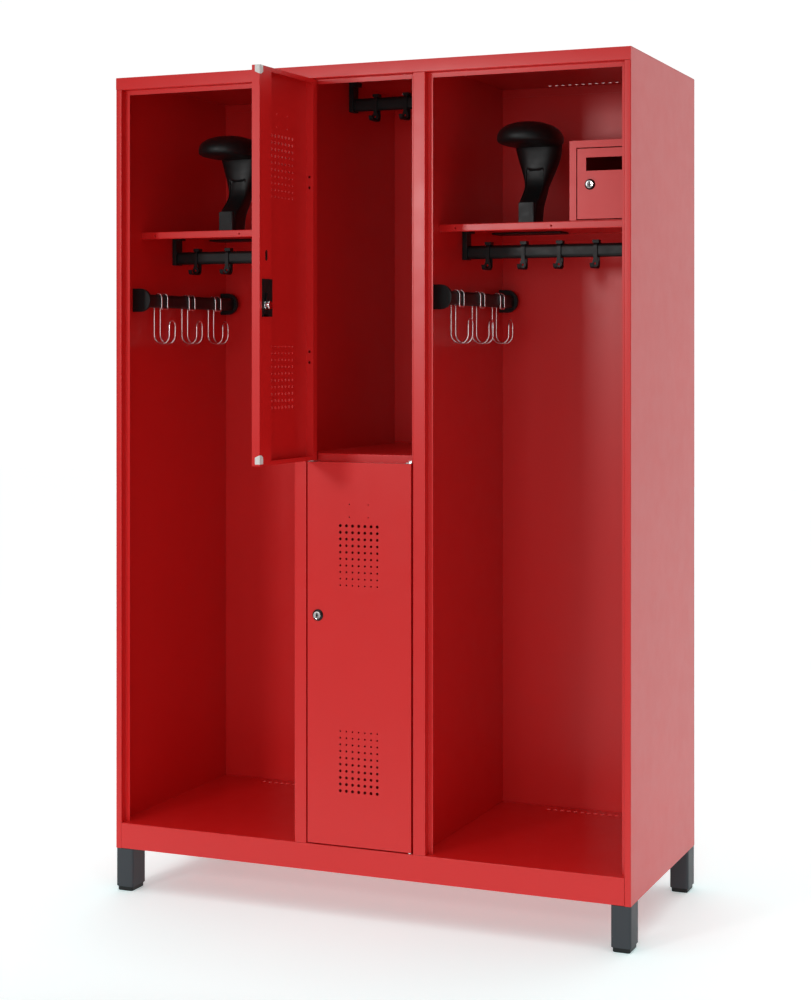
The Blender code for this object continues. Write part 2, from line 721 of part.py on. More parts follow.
def valuables_box():
    """Sheet box with a front frame around its door opening."""
    low = (BOX_LEFT, HAT_SHELF_Y, BOX_BOTTOM)
    high = (BOX_RIGHT, BOX_BACK, BOX_BOTTOM + BOX_HEIGHT)
    box = block("valuables_box", low, high, RED)
    inside_low = tuple(value + SHEET for value in low)
    inside_high = tuple(value - SHEET for value in high)
    carve(box, block("valuables_box_inside", inside_low, inside_high, RED))
    low = (BOX_LEFT + BOX_FRAME - BOX_CLEARANCE, HAT_SHELF_Y - 0.005,
           BOX_BOTTOM + BOX_DOOR_BOTTOM - BOX_CLEARANCE)
    high = (BOX_RIGHT - BOX_FRAME + BOX_CLEARANCE, HAT_SHELF_Y + 0.005,
            BOX_BOTTOM + BOX_HEIGHT - BOX_FRAME + BOX_CLEARANCE)
    return carve(box, block("valuables_box_opening", low, high, RED))


def valuables_door(plan):
    """Flat pan with a letter slot and a lock hole, in the coordinates of its hinge."""
    size = (BOX_DOOR_WIDTH, BOX_DOOR_THICK, BOX_DOOR_HEIGHT)
    door_pan = plan.block("valuables_door", (0, 0, 0), size)
    hollow = [value - SHEET for value in size]
    hollow[1] = BOX_DOOR_THICK + SHEET
    carve(door_pan, plan.block("valuables_door_pan", (SHEET, SHEET, SHEET), hollow))
    (x0, x1), (z0, z1) = BOX_SLOT
    slot = plan.block("valuables_door_slot", (x0, -SHEET, z0), (x1, 3 * SHEET, z1))
    x, y, _ = plan.at(BOX_LOCK_X, 0)
    hole = drill("valuables_door_hole", (x, BOX_LOCK_Z), PLUG_HOLE, "Y", y - 0.002, y + 0.003)
    return carve(door_pan, slot, hole)


# ---------------------------------------------------------------------------------- assembly

def build_carcass(cabinet):
    """Panels, partitions, shelves, legs and glides."""
    webs = [web_x(stile) for stile in STILES]
    place(side_panel("side_panel_left", False), cabinet)
    place(side_panel("side_panel_right", True), cabinet)
    place(top_panel(), cabinet)
    place(floor_panel(), cabinet)
    place(back_panel(), cabinet)
    place(partition("partition_left", STILES[0]), cabinet)
    place(partition("partition_right", STILES[1]), cabinet)
    centre_bay = (webs[0] + HALF, webs[1] - HALF)
    place(shelf("middle_shelf", *centre_bay, RETURN + GAP, MIDDLE_SHELF_TOP,
                MIDDLE_SHELF_FOLD, 0.015, 0.020), cabinet)
    for side, bay in (("left", (SHEET, webs[0] - HALF)), ("right", (webs[1] + HALF, WIDTH - SHEET))):
        place(shelf(f"hat_shelf_{side}", *bay, HAT_SHELF_Y, HAT_SHELF_TOP,
                    HAT_SHELF_FOLD, 0.010, 0.015), cabinet)
    for row, y in (("front", 0.0), ("rear", DEPTH - LEG_Y)):
        for side, x in (("left", 0.0), ("right", WIDTH - LEG_X)):
            place(leg(f"leg_{row}_{side}", x, y), cabinet)
            place(glide(f"glide_{row}_{side}", x, y), cabinet)


def build_doors(cabinet):
    """Both centre doors on their hinge empties, with locks and pivots."""
    left_x = STILES[0][1] + DOOR_SIDE_GAP + HINGE_X
    right_x = STILES[1][0] - DOOR_SIDE_GAP - HINGE_X
    middle = DOOR_HEIGHT / 2
    doors = (
        ("upper", 1, left_x, UPPER_DOOR_Z, -UPPER_DOOR_OPEN),
        ("lower", -1, right_x, LOWER_DOOR_Z, 0.0),
    )
    for name, hand, x, z, turn in doors:
        hinge = empty(f"{name}_door_hinge", cabinet, (x, HINGE_Y, z), turn)
        plan = DoorPlan(hand)
        lock_z = middle - hand * LOCK_FROM_MIDDLE
        case = sorted((lock_z - hand * CASE_SHORT, lock_z + hand * CASE_LONG))
        place(door(f"{name}_door", plan, lock_z, *case), hinge)
        place(lock_case(f"{name}_lock_case", plan, lock_z, *case), hinge)
        lock_at = plan.at(DOOR_WIDTH - LOCK_FROM_EDGE, 0, lock_z)
        plug = lock_plug(f"{name}_lock_plug", -PLUG_FRONT, CASE_BACK + 0.0025, 0.026, hand)
        place(plug, hinge, lock_at)
    top_pin = pivot("pivot_top", TOP_RAIL_BOTTOM - GAP, UPPER_DOOR_Z + DOOR_HEIGHT - PIN_DEPTH)
    place(top_pin, cabinet, (left_x, HINGE_Y, 0))
    bottom_pin = pivot("pivot_bottom", FLOOR_TOP + GAP, LOWER_DOOR_Z + PIN_DEPTH)
    place(bottom_pin, cabinet, (right_x, HINGE_Y, 0))
    lug_z = LOWER_DOOR_Z + DOOR_HEIGHT + GAP + PIN_GAP
    place(middle_pivot("pivot_middle_left", 1, True), cabinet, (left_x, HINGE_Y, lug_z))
    place(middle_pivot("pivot_middle_right", -1, False), cabinet, (right_x, HINGE_Y, lug_z))


def build_side_bay(cabinet, side, left, right):
    """Rail, coat hooks, side bar, wire hooks and helmet holder of one outer bay."""
    ceiling = HAT_SHELF_TOP - SHEET
    place(hanging_rail(f"hanging_rail_{side}", left, right, SIDE_RAIL_Z, ceiling), cabinet)
    middle = (left + right) / 2
    for number in range(5):
        x = middle + SIDE_HOOK_SHIFT[side] + (number - 2) * SIDE_HOOK_PITCH
        place(coat_hook(f"coat_hook_{side}_{number + 1}"), cabinet, (x, RAIL_Y, SIDE_RAIL_Z))
    place(side_bar(f"side_bar_{side}", left), cabinet)
    for number, y in enumerate(WIRE_HOOKS_Y):
        hook = wire_hook(f"wire_hook_{side}_{number + 1}")
        place(hook, cabinet, (left + BAR_X, y, BAR_Z))
    place(helmet_holder(f"helmet_holder_{side}", left), cabinet)


def build_centre_bay(cabinet, left, right):
    """Hanging rail and coat hooks of the two middle compartments."""
    middle = (left + right) / 2
    compartments = (("upper", HEIGHT - SHEET, 3), ("lower", MIDDLE_SHELF_TOP - SHEET, 2))
    for level, ceiling, hooks in compartments:
        z = ceiling - RAIL_UNDER_SHEET
        place(hanging_rail(f"hanging_rail_{level}", left, right, z, ceiling), cabinet)
        for number in range(hooks):
            x = middle + (number - (hooks - 1) / 2) * CENTRE_HOOK_PITCH
            place(coat_hook(f"coat_hook_{level}_{number + 1}"), cabinet, (x, RAIL_Y, z))


def build_valuables_box(cabinet):
    """Box on the right hat shelf with its lockable door."""
    place(valuables_box(), cabinet)
    x = BOX_RIGHT - BOX_FRAME - BOX_HINGE
    plan = DoorPlan(-1, (BOX_HINGE, BOX_HINGE))
    at = (x, HAT_SHELF_Y + BOX_HINGE, BOX_BOTTOM + BOX_DOOR_BOTTOM)
    hinge = empty("valuables_door_hinge", cabinet, at)
    place(valuables_door(plan), hinge)
    plug = lock_plug("valuables_lock_plug", -0.005, BOX_DOOR_THICK + 0.003, 0.036, -1)
    place(plug, hinge, plan.at(BOX_LOCK_X, 0, BOX_LOCK_Z))


def main():
    for obj in list(bpy.data.objects):
        bpy.data.objects.remove(obj, do_unlink=True)
    free_x = DOOR_WIDTH - HINGE_X
    free_y = DOOR_THICK - HINGE_Y
    swing = free_x * math.sin(UPPER_DOOR_OPEN) - free_y * math.cos(UPPER_DOOR_OPEN)
    front = (swing - HINGE_Y - DEPTH) / 2
    cabinet = empty("cabinet", None, (-WIDTH / 2, front, 0))
    webs = [web_x(stile) for stile in STILES]
    build_carcass(cabinet)
    build_doors(cabinet)
    build_side_bay(cabinet, "left", SHEET, webs[0] - HALF)
    build_side_bay(cabinet, "right", webs[1] + HALF, WIDTH - SHEET)
    build_centre_bay(cabinet, webs[0] + HALF, webs[1] - HALF)
    build_valuables_box(cabinet)


main()
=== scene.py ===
"""Looks of the three-bay wardrobe locker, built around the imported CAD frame."""
import json
import math

import bmesh
import bpy
from mathutils import Matrix, Vector


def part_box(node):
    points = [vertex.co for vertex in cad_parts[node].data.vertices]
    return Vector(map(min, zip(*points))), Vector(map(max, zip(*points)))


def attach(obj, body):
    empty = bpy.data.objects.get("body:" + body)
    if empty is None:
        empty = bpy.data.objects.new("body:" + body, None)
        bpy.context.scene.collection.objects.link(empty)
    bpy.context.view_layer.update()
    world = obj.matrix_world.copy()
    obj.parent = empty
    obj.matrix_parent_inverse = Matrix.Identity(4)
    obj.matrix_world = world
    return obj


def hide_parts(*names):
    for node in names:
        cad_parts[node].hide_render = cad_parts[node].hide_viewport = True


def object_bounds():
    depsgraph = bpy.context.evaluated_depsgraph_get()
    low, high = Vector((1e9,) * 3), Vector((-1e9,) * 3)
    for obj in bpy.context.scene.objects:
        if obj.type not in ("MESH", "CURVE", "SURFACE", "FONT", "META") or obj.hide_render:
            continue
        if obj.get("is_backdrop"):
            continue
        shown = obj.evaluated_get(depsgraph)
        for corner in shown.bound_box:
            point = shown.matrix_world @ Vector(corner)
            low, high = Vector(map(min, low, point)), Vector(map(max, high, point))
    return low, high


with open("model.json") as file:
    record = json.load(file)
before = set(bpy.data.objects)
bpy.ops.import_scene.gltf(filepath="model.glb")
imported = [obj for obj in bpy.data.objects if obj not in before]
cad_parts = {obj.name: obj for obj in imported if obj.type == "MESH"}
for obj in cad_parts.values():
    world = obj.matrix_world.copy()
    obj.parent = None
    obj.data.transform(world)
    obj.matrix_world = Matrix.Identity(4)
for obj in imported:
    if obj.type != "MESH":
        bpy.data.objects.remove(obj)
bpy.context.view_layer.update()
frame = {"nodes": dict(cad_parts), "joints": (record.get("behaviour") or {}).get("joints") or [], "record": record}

NODES = frame["nodes"]
JOINTS = {joint["name"]: joint for joint in frame["joints"]}
SLOTS = {part["node"]: part["material_slot"] for part in frame["record"]["subparts"]}

SHEET = 0.001

# Door coordinates: x from the hinge edge, y from the outer face, z from the lower edge
HINGE_X = 0.0046
HINGE_Y = 0.006
DOOR_WIDTH = 0.2414
DOOR_THICK = 0.018
DOOR_HEIGHT = 0.816
LOCK_X = DOOR_WIDTH - 0.0245
LOCK_OFFSET = 0.080
LATCH_OFFSET = 0.0217


# --------------------------------------------------------------------------------- materials

def shader(name):
    """A new material with its node tree and Principled shader."""
    material = bpy.data.materials.new(name)
    material.use_nodes = True
    tree = material.node_tree
    return material, tree, tree.nodes["Principled BSDF"]


def node(tree, kind, inputs=(), **settings):
    """A shader node with some input values and settings."""
    item = tree.nodes.new(kind)
    for key, value in settings.items():
        setattr(item, key, value)
    for key, value in dict(inputs).items():
        item.inputs[key].default_value = value
    return item


def noise(tree, place, scale, detail=2.0, stretch=(1.0, 1.0, 1.0)):
    """Noise over the object's own coordinates."""
    scaled = node(tree, "ShaderNodeMapping", {"Scale": stretch})
    tree.links.new(place.outputs["Object"], scaled.inputs["Vector"])
    grain = node(tree, "ShaderNodeTexNoise", {"Scale": scale, "Detail": detail})
    tree.links.new(scaled.outputs["Vector"], grain.inputs["Vector"])
    return grain.outputs["Fac"]


def spread(tree, source, low, high, start=0.3, end=0.7):
    """A value between low and high that follows the source."""
    item = node(tree, "ShaderNodeMapRange", {
        "From Min": start, "From Max": end, "To Min": low, "To Max": high})
    tree.links.new(source, item.inputs["Value"])
    return item.outputs["Result"]


def blend_colours(tree, factor, first, second):
    """A mix of two colours, each a tuple or a socket."""
    item = node(tree, "ShaderNodeMix", data_type="RGBA")
    tree.links.new(factor, item.inputs["Factor"])
    for socket, colour in ((item.inputs[6], first), (item.inputs[7], second)):
        if isinstance(colour, tuple):
            socket.default_value = (*colour, 1.0)
        else:
            tree.links.new(colour, socket)
    return item.outputs[2]


def multiply(tree, first, second):
    """Product of two sockets."""
    item = node(tree, "ShaderNodeMath", operation="MULTIPLY")
    tree.links.new(first, item.inputs[0])
    tree.links.new(second, item.inputs[1])
    return item.outputs["Value"]


def edge_film_and_sheen_mask(tree, place, radius, amount):
    """Mask that is above zero along outer edges, broken up by noise: where the coating takes its lighter edge
    colour, partly a thinner film and partly a painted highlight.
    """
    rounded = node(tree, "ShaderNodeBevel", {"Radius": radius}, samples=4)
    surface = node(tree, "ShaderNodeNewGeometry")
    match = node(tree, "ShaderNodeVectorMath", operation="DOT_PRODUCT")
    tree.links.new(rounded.outputs["Normal"], match.inputs[0])
    tree.links.new(surface.outputs["True Normal"], match.inputs[1])
    edge = spread(tree, match.outputs["Value"], 1.0, 0.0, 0.72, 0.985)
    broken = spread(tree, noise(tree, place, 55.0, 4.0), 0.25 * amount, amount)
    return multiply(tree, edge, broken)


def relief(tree, principled, layers):
    """Bump layers (height socket, strength, distance), stacked."""
    below = None
    for height, strength, distance in layers:
        bump = node(tree, "ShaderNodeBump", {"Strength": strength, "Distance": distance})
        tree.links.new(height, bump.inputs["Height"])
        if below is not None:
            tree.links.new(below, bump.inputs["Normal"])
        below = bump.outputs["Normal"]
    tree.links.new(below, principled.inputs["Normal"])


def coating(name, deep, bright, edge, roughness):
    """Satin powder coating: faint colour drift, orange peel, and lighter edges that are partly a thinner film and
    partly a painted highlight.
    """
    material, tree, principled = shader(name)
    place = node(tree, "ShaderNodeTexCoord")
    drift = noise(tree, place, 3.2, 3.0)
    grain = noise(tree, place, 750.0, 2.0)
    body = blend_colours(tree, spread(tree, drift, 0.0, 1.0), deep, bright)
    coat_with_edge_sheen = blend_colours(tree, edge_film_and_sheen_mask(tree, place, 0.0011, 0.42), body, edge)
    tree.links.new(coat_with_edge_sheen, principled.inputs["Base Color"])
    gloss = spread(tree, noise(tree, place, 24.0, 4.0), *roughness)
    tree.links.new(gloss, principled.inputs["Roughness"])
    waves = noise(tree, place, 130.0, 2.0)
    relief(tree, principled, ((waves, 0.02, 0.0003), (grain, 0.14, 0.00010)))
    principled.inputs["IOR"].default_value = 1.5
    return material


def moulded(name, deep, bright, roughness, grain_depth=0.00012):
    """Moulded plastic with a fine spark-eroded grain."""
    material, tree, principled = shader(name)
    place = node(tree, "ShaderNodeTexCoord")
    drift = noise(tree, place, 18.0, 3.0)
    colour = blend_colours(tree, spread(tree, drift, 0.0, 1.0), deep, bright)
    tree.links.new(colour, principled.inputs["Base Color"])
    gloss = spread(tree, noise(tree, place, 60.0, 4.0), *roughness)
    tree.links.new(gloss, principled.inputs["Roughness"])
    grain = noise(tree, place, 1400.0, 2.0)
    relief(tree, principled, ((grain, 0.35, grain_depth),))
    principled.inputs["IOR"].default_value = 1.38
    return material


def plated(name, deep, bright, roughness, streaks, scratch):
    """Plated metal with drawn streaks and a little cloudiness."""
    material, tree, principled = shader(name)
    place = node(tree, "ShaderNodeTexCoord")
    cloud = noise(tree, place, 90.0, 3.0)
    colour = blend_colours(tree, spread(tree, cloud, 0.0, 1.0), deep, bright)
    tree.links.new(colour, principled.inputs["Base Color"])
    gloss = spread(tree, noise(tree, place, 220.0, 3.0, streaks), *roughness)
    tree.links.new(gloss, principled.inputs["Roughness"])
    lines = noise(tree, place, 900.0, 2.0, streaks)
    relief(tree, principled, ((lines, scratch, 0.00005),))
    principled.inputs["Metallic"].default_value = 1.0
    return material


# The third colour of each coating is its lighter edge colour: partly thinner film, partly a painted highlight
# along the edges.
RED = coating("red_coating", (0.665, 0.0110, 0.0105), (0.690, 0.0125, 0.0120),
              (0.760, 0.080, 0.076), (0.31, 0.35))
ANTHRACITE = coating("anthracite_coating", (0.024, 0.029, 0.036), (0.028, 0.034, 0.042),
                     (0.085, 0.090, 0.098), (0.44, 0.50))
BLACK = moulded("black_plastic", (0.0045, 0.0056, 0.0058), (0.0070, 0.0084, 0.0088), (0.38, 0.50))
RING = moulded("black_ring_plastic", (0.0045, 0.0045, 0.0050), (0.0075, 0.0075, 0.0080),
               (0.25, 0.36), 0.00004)
WHITE = moulded("white_plastic", (0.72, 0.71, 0.68), (0.80, 0.79, 0.76), (0.30, 0.42), 0.00006)
STEEL = plated("bright_steel", (0.74, 0.745, 0.75), (0.86, 0.865, 0.87), (0.16, 0.30),
               (1.0, 1.0, 0.06), 0.20)
CHROME = plated("chrome", (0.84, 0.845, 0.85), (0.92, 0.925, 0.93), (0.06, 0.16),
                (1.0, 1.0, 1.0), 0.06)
FINISHES = {
    "red_coating": RED,
    "anthracite_coating": ANTHRACITE,
    "black_plastic": BLACK,
    "bright_steel": STEEL,
    "chrome": CHROME,
    "white_plastic": WHITE,
}
SLOT_OF = {material.name: slot for slot, material in FINISHES.items()}
SLOT_OF[RING.name] = "black_plastic"


# ------------------------------------------------------------------------------ mesh building

def angle_shading(limit):
    """Geometry nodes that shade smooth, with sharp edges above the limit angle."""
    group = bpy.data.node_groups.new(f"shade_{round(math.degrees(limit))}", "GeometryNodeTree")
    for way in ("INPUT", "OUTPUT"):
        group.interface.new_socket("Geometry", in_out=way, socket_type="NodeSocketGeometry")
    start = group.nodes.new("NodeGroupInput")
    end = group.nodes.new("NodeGroupOutput")
    angle = group.nodes.new("GeometryNodeInputMeshEdgeAngle")
    sharp = group.nodes.new("FunctionNodeCompare")
    sharp.operation = "GREATER_THAN"
    sharp.inputs[1].default_value = limit
    faces = group.nodes.new("GeometryNodeSetShadeSmooth")
    faces.domain = "FACE"
    faces.inputs["Shade Smooth"].default_value = True
    edges = group.nodes.new("GeometryNodeSetShadeSmooth")
    edges.domain = "EDGE"
    edges.inputs["Shade Smooth"].default_value = False
    group.links.new(angle.outputs["Unsigned Angle"], sharp.inputs[0])
    group.links.new(start.outputs["Geometry"], faces.inputs["Geometry"])
    group.links.new(faces.outputs["Geometry"], edges.inputs["Geometry"])
    group.links.new(sharp.outputs["Result"], edges.inputs["Selection"])
    group.links.new(edges.outputs["Geometry"], end.inputs["Geometry"])
    return group


SHARP_ANGLE = math.radians(50)
SHADE = angle_shading(SHARP_ANGLE)


def soften(obj, width=0.0, segments=2):
    """Round the sharp edges a little and shade the result."""
    if width:
        bevel = obj.modifiers.new("edge_rounding", "BEVEL")
        bevel.width = width
        bevel.segments = segments
        bevel.limit_method = "ANGLE"
        bevel.angle_limit = SHARP_ANGLE
    shading = obj.modifiers.new("shading", "NODES")
    shading.node_group = SHADE
    normals = obj.modifiers.new("normals", "WEIGHTED_NORMAL")
    normals.keep_sharp = True
    return obj


def mesh_object(name, points, faces, material):
    """A mesh object with outward normals."""
    mesh = bpy.data.meshes.new(name)
    mesh.from_pydata([tuple(point) for point in points], [], faces)
    bm = bmesh.new()
    bm.from_mesh(mesh)
    bmesh.ops.recalc_face_normals(bm, faces=bm.faces)
    bm.to_mesh(mesh)
    bm.free()
    mesh.materials.append(material)
    obj = bpy.data.objects.new(name, mesh)
    bpy.context.scene.collection.objects.link(obj)
    return obj


def loft(name, rings, material, closed=False):
    """A body through rings of equal point count, capped unless the rings close on themselves."""
    count = len(rings[0])
    points = [point for ring in rings for point in ring]
    faces = []
    pairs = list(zip(range(len(rings)), range(1, len(rings))))
    if closed:
        pairs.append((len(rings) - 1, 0))
    for a, b in pairs:
        for i in range(count):
            j = (i + 1) % count
            faces.append((a * count + i, a * count + j, b * count + j, b * count + i))
    if not closed:
        faces.append(tuple(range(count)))
        faces.append(tuple(range((len(rings) - 1) * count, len(rings) * count)))
    return mesh_object(name, points, faces, material)


def turned(name, profile, material, at, axis, closed=False, steps=48):
    """A body of revolution: profile is (radius, distance along the axis) from a point."""
    frame_axis = Vector(axis).normalized()
    side = frame_axis.orthogonal().normalized()
    up = frame_axis.cross(side)
    rings = []
    for radius, along in profile:
        centre = Vector(at) + frame_axis * along
        angles = [2 * math.pi * i / steps for i in range(steps)]
        rings.append([centre + radius * (side * math.cos(a) + up * math.sin(a)) for a in angles])
    return loft(name, rings, material, closed)


def extruded(name, outline, lift, depths, material):
    """An outline swept between two depths: lift turns (u, v, depth) into a point."""
    rings = [[lift(u, v, depth) for u, v in outline] for depth in depths]
    return loft(name, rings, material)


def arc(centre, radius, first, last, steps):
    """Points of an arc, angles in degrees."""
    angles = [math.radians(first + (last - first) * i / steps) for i in range(steps + 1)]
    return [(centre[0] + radius * math.cos(a), centre[1] + radius * math.sin(a)) for a in angles]


def rounded_box(left, right, low, high, radius, steps=6):
    """Outline of a rectangle with round corners."""
    corners = (
        ((right - radius, high - radius), 0),
        ((left + radius, high - radius), 90),
        ((left + radius, low + radius), 180),
        ((right - radius, low + radius), 270),
    )
    points = []
    for centre, first in corners:
        points += arc(centre, radius, first, first + 90, steps)
    return points


def settle(obj, body, matrix=None, replaced=()):
    """Put a finished piece in place, tie it to its body and hide the CAD nodes it replaces."""
    if matrix is not None:
        obj.matrix_world = matrix
    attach(obj, body)
    if replaced:
        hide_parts(*replaced)
    return obj


# ------------------------------------------------------------------------ CAD nodes' finishes

def cutter(name, prisms, body, matrix=None):
    """A hidden tool made of separate prisms, each a pair of end outlines."""
    points, faces = [], []
    for first, second in prisms:
        count, base = len(first), len(points)
        points += first + second
        for i in range(count):
            j = (i + 1) % count
            faces.append((base + i, base + j, base + count + j, base + count + i))
        faces.append(tuple(range(base, base + count)))
        faces.append(tuple(range(base + count, base + 2 * count)))
    tool = mesh_object(name, points, faces, STEEL)
    tool.hide_render = True
    tool.display_type = "WIRE"
    if matrix is not None:
        tool.matrix_world = matrix
    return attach(tool, body)


def hole(lift, centre, radius, depths, steps=16):
    """Prism of a round hole, for a cutter."""
    outline = arc(centre, radius, 0, 360 - 360 / steps, steps - 1)
    return tuple([lift(u, v, depth) for u, v in outline] for depth in depths)


WELD_DISTANCE = 0.00001
FLAT_ANGLE = math.radians(0.3)
SHEET_EDGE = 0.0003


def dress(name, edge=SHEET_EDGE, tools=()):
    """Give a CAD node its finish, its small openings and slightly rounded edges."""
    obj = NODES[name]
    mesh = obj.data
    for attribute in [a.name for a in mesh.attributes if a.name == "custom_normal"]:
        mesh.attributes.remove(mesh.attributes[attribute])
    finish = FINISHES[SLOTS[name]]
    for slot in obj.material_slots:
        slot.material = finish
    if not obj.material_slots:
        mesh.materials.append(finish)
    weld = obj.modifiers.new("weld", "WELD")
    weld.merge_threshold = WELD_DISTANCE
    planar = obj.modifiers.new("planar", "DECIMATE")
    planar.decimate_type = "DISSOLVE"
    planar.angle_limit = FLAT_ANGLE
    for tool in tools:
        cut = obj.modifiers.new(tool.name, "BOOLEAN")
        cut.operation = "DIFFERENCE"
        cut.solver = "EXACT"
        cut.object = tool
    soften(obj, edge)


class Leaf:
    """Coordinates of a centre door, whose hinge edge is x = 0."""

    def __init__(self, name, hand, turn):
        self.name = name
        self.body = name + "_door"
        self.hand = hand
        axis = Vector(JOINTS[name + "_door_hinge"]["pos_m"])
        low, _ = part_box(name + "_door")
        spin = Matrix.Rotation(turn, 4, "Z")
        self.matrix = Matrix.Translation((axis.x, axis.y, low.z)) @ spin
        self.lock_z = DOOR_HEIGHT / 2 - hand * LOCK_OFFSET

    def at(self, x, y, z):
        """Point of the door in its hinge's coordinates."""
        return Vector((self.hand * (x - HINGE_X), y - HINGE_Y, z))

    def through(self, x, z, depth):
        """Point for outlines drawn on the door's face, swept through its thickness."""
        return self.at(x, depth, z)

    def across(self, y, z, depth):
        """Point for outlines drawn on the door's edge, swept across its width."""
        return self.at(depth, y, z)


OPEN_ANGLE = math.radians(-92.4)
LEAVES = (Leaf("upper", 1, OPEN_ANGLE), Leaf("lower", -1, 0.0))

PERFORATION_PITCH_X = 0.0144
PERFORATION_PITCH_Z = 0.0141
PERFORATION_LARGE = 0.0033
PERFORATION_SMALL = 0.0018
PERFORATION_ROWS, PERFORATION_COLUMNS = 10, 7
UPPER_FIELD, LOWER_FIELD = 0.2733, -0.1645        # first row above the door's middle
LABEL_HOLES = (0.0219, 0.3057, 0.0136)            # half width, height, half height
LABEL_HOLE_RADIUS = 0.0014
HINGE_HOLES = (0.187, 0.0115)                     # height of a pair, half its distance
HINGE_HOLE_RADIUS = 0.0030
LATCH_HOLE = (-0.0085, 0.0015, 0.011, 0.0049)     # left and right of the lock, half height, radius


def door_openings(leaf):
    """Perforated fields, label holes, hinge wall holes and the latch hole of a door."""
    prisms = []
    face = (-SHEET, 3 * SHEET)
    middle_x, middle_z = DOOR_WIDTH / 2, DOOR_HEIGHT / 2
    for row in range(PERFORATION_ROWS):
        size = row / (PERFORATION_ROWS - 1)
        upper = PERFORATION_LARGE + (PERFORATION_SMALL - PERFORATION_LARGE) * size
        lower = PERFORATION_SMALL + (PERFORATION_LARGE - PERFORATION_SMALL) * size
        for column in range(PERFORATION_COLUMNS):
            x = middle_x + (column - (PERFORATION_COLUMNS - 1) / 2) * PERFORATION_PITCH_X
            for top, radius in ((UPPER_FIELD, upper), (LOWER_FIELD, lower)):
                z = middle_z + top - row * PERFORATION_PITCH_Z
                prisms.append(hole(leaf.through, (x, z), radius, face))
    label_x, label_z, label_step = LABEL_HOLES
    pair_z, pair_step = HINGE_HOLES
    for side in (-1, 1):
        for level in (-1, 1):
            at = (middle_x + side * label_x, middle_z + label_z + level * label_step)
            prisms.append(hole(leaf.through, at, LABEL_HOLE_RADIUS, face, 12))
            at = (DOOR_THICK / 2, middle_z + side * pair_z + level * pair_step)
            prisms.append(hole(leaf.across, at, HINGE_HOLE_RADIUS, (0.0150, 0.0185)))
    left, right, half, radius = LATCH_HOLE
    latch_z = middle_z + leaf.hand * LATCH_OFFSET
    oblong = rounded_box(LOCK_X + left, LOCK_X + right, latch_z - half, latch_z + half, radius)
    lip = (DOOR_THICK - 0.0025, DOOR_THICK + 0.0015)
    prisms.append(tuple([leaf.through(x, z, depth) for x, z in oblong] for depth in lip))
    return cutter(leaf.name + "_door_openings", prisms, leaf.body, leaf.matrix)


def plan_point(u, v, depth):
    """Outline in plan, swept along Z."""
    return Vector((u, v, depth))


def front_point(u, v, depth):
    """Outline seen from the front, swept along Y."""
    return Vector((u, depth, v))


LEFT_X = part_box("side_panel_left")[0].x
FRONT_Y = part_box("side_panel_left")[0].y
BAYS = (0.231, 0.600, 0.969)                      # middles of the bays from the left side
VENT_COUNT, VENT_PITCH, VENT_RADIUS = 14, 0.01615, 0.0052
TOP_VENTS_Y, FLOOR_VENTS_Y = 0.474, 0.466
THROUGH = 0.004                                   # reach of a cutter on both sides of a sheet


def vents(name, y, level):
    """A row of round vents in each bay of the top or the floor."""
    prisms = []
    for bay in BAYS:
        for number in range(VENT_COUNT):
            x = LEFT_X + bay + (number - (VENT_COUNT - 1) / 2) * VENT_PITCH
            prisms.append(hole(plan_point, (x, FRONT_Y + y), VENT_RADIUS,
                               (level - THROUGH, level + THROUGH)))
    return cutter(name, prisms, "cabinet")


top_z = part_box("top_panel")[1].z
floor_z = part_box("floor_panel")[1].z
back_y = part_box("back_panel")[0].y
drilled = {
    "top_panel": vents("top_vents", TOP_VENTS_Y, top_z),
    "floor_panel": vents("floor_vents", FLOOR_VENTS_Y, floor_z),
    "back_panel": cutter("back_holes", [
        hole(front_point, (LEFT_X + x, z), 0.003, (back_y - THROUGH, back_y + THROUGH))
        for x in (0.009, 1.191) for z in (0.1685, 1.784)], "cabinet"),
}
for side, holes in (("left", (0.0366, 0.2543)), ("right", (0.7779, 0.9946))):
    low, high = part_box(f"hat_shelf_{side}")
    drilled[f"hat_shelf_{side}"] = cutter(f"hat_shelf_{side}_holes", [
        hole(front_point, (LEFT_X + x, high.z - 0.009), 0.0022, (low.y - 0.003, low.y + 0.003))
        for x in holes], "cabinet")
for leaf in LEAVES:
    drilled[leaf.body] = door_openings(leaf)

REPLACED = ["helmet_holder_left", "helmet_holder_right", "upper_lock_plug", "lower_lock_plug",
            "valuables_lock_plug"]
REPLACED += [f"wire_hook_{side}_{number}" for side in ("left", "right") for number in (1, 2, 3)]
DOOR_EDGE = 0.0006
EDGES = {"bright_steel": 0.0002, "black_plastic": 0.0006, "anthracite_coating": 0.0004}
for name in NODES:
    if name not in REPLACED:
        tools = [drilled[name]] if name in drilled else []
        is_leaf = any(name == leaf.body for leaf in LEAVES)
        dress(name, DOOR_EDGE if is_leaf else EDGES.get(SLOTS[name], SHEET_EDGE), tools)


# -------------------------------------------------------------------------------- wire hooks

def rounded_route(points, radius, steps=5):
    """A closed route through corner points, each corner turned in an arc-like curve."""
    route = []
    count = len(points)
    for i, corner in enumerate(points):
        before, after = points[i - 1], points[(i + 1) % count]
        inward, outward = before - corner, after - corner
        if inward.angle(-outward) < math.radians(20):
            route.append(corner)
            continue
        reach = min(radius, inward.length / 2, outward.length / 2)
        start = corner + inward.normalized() * reach
        end = corner + outward.normalized() * reach
        for step in range(steps + 1):
            t = step / steps
            route.append(start * (1 - t) ** 2 + corner * 2 * t * (1 - t) + end * t ** 2)
    return route


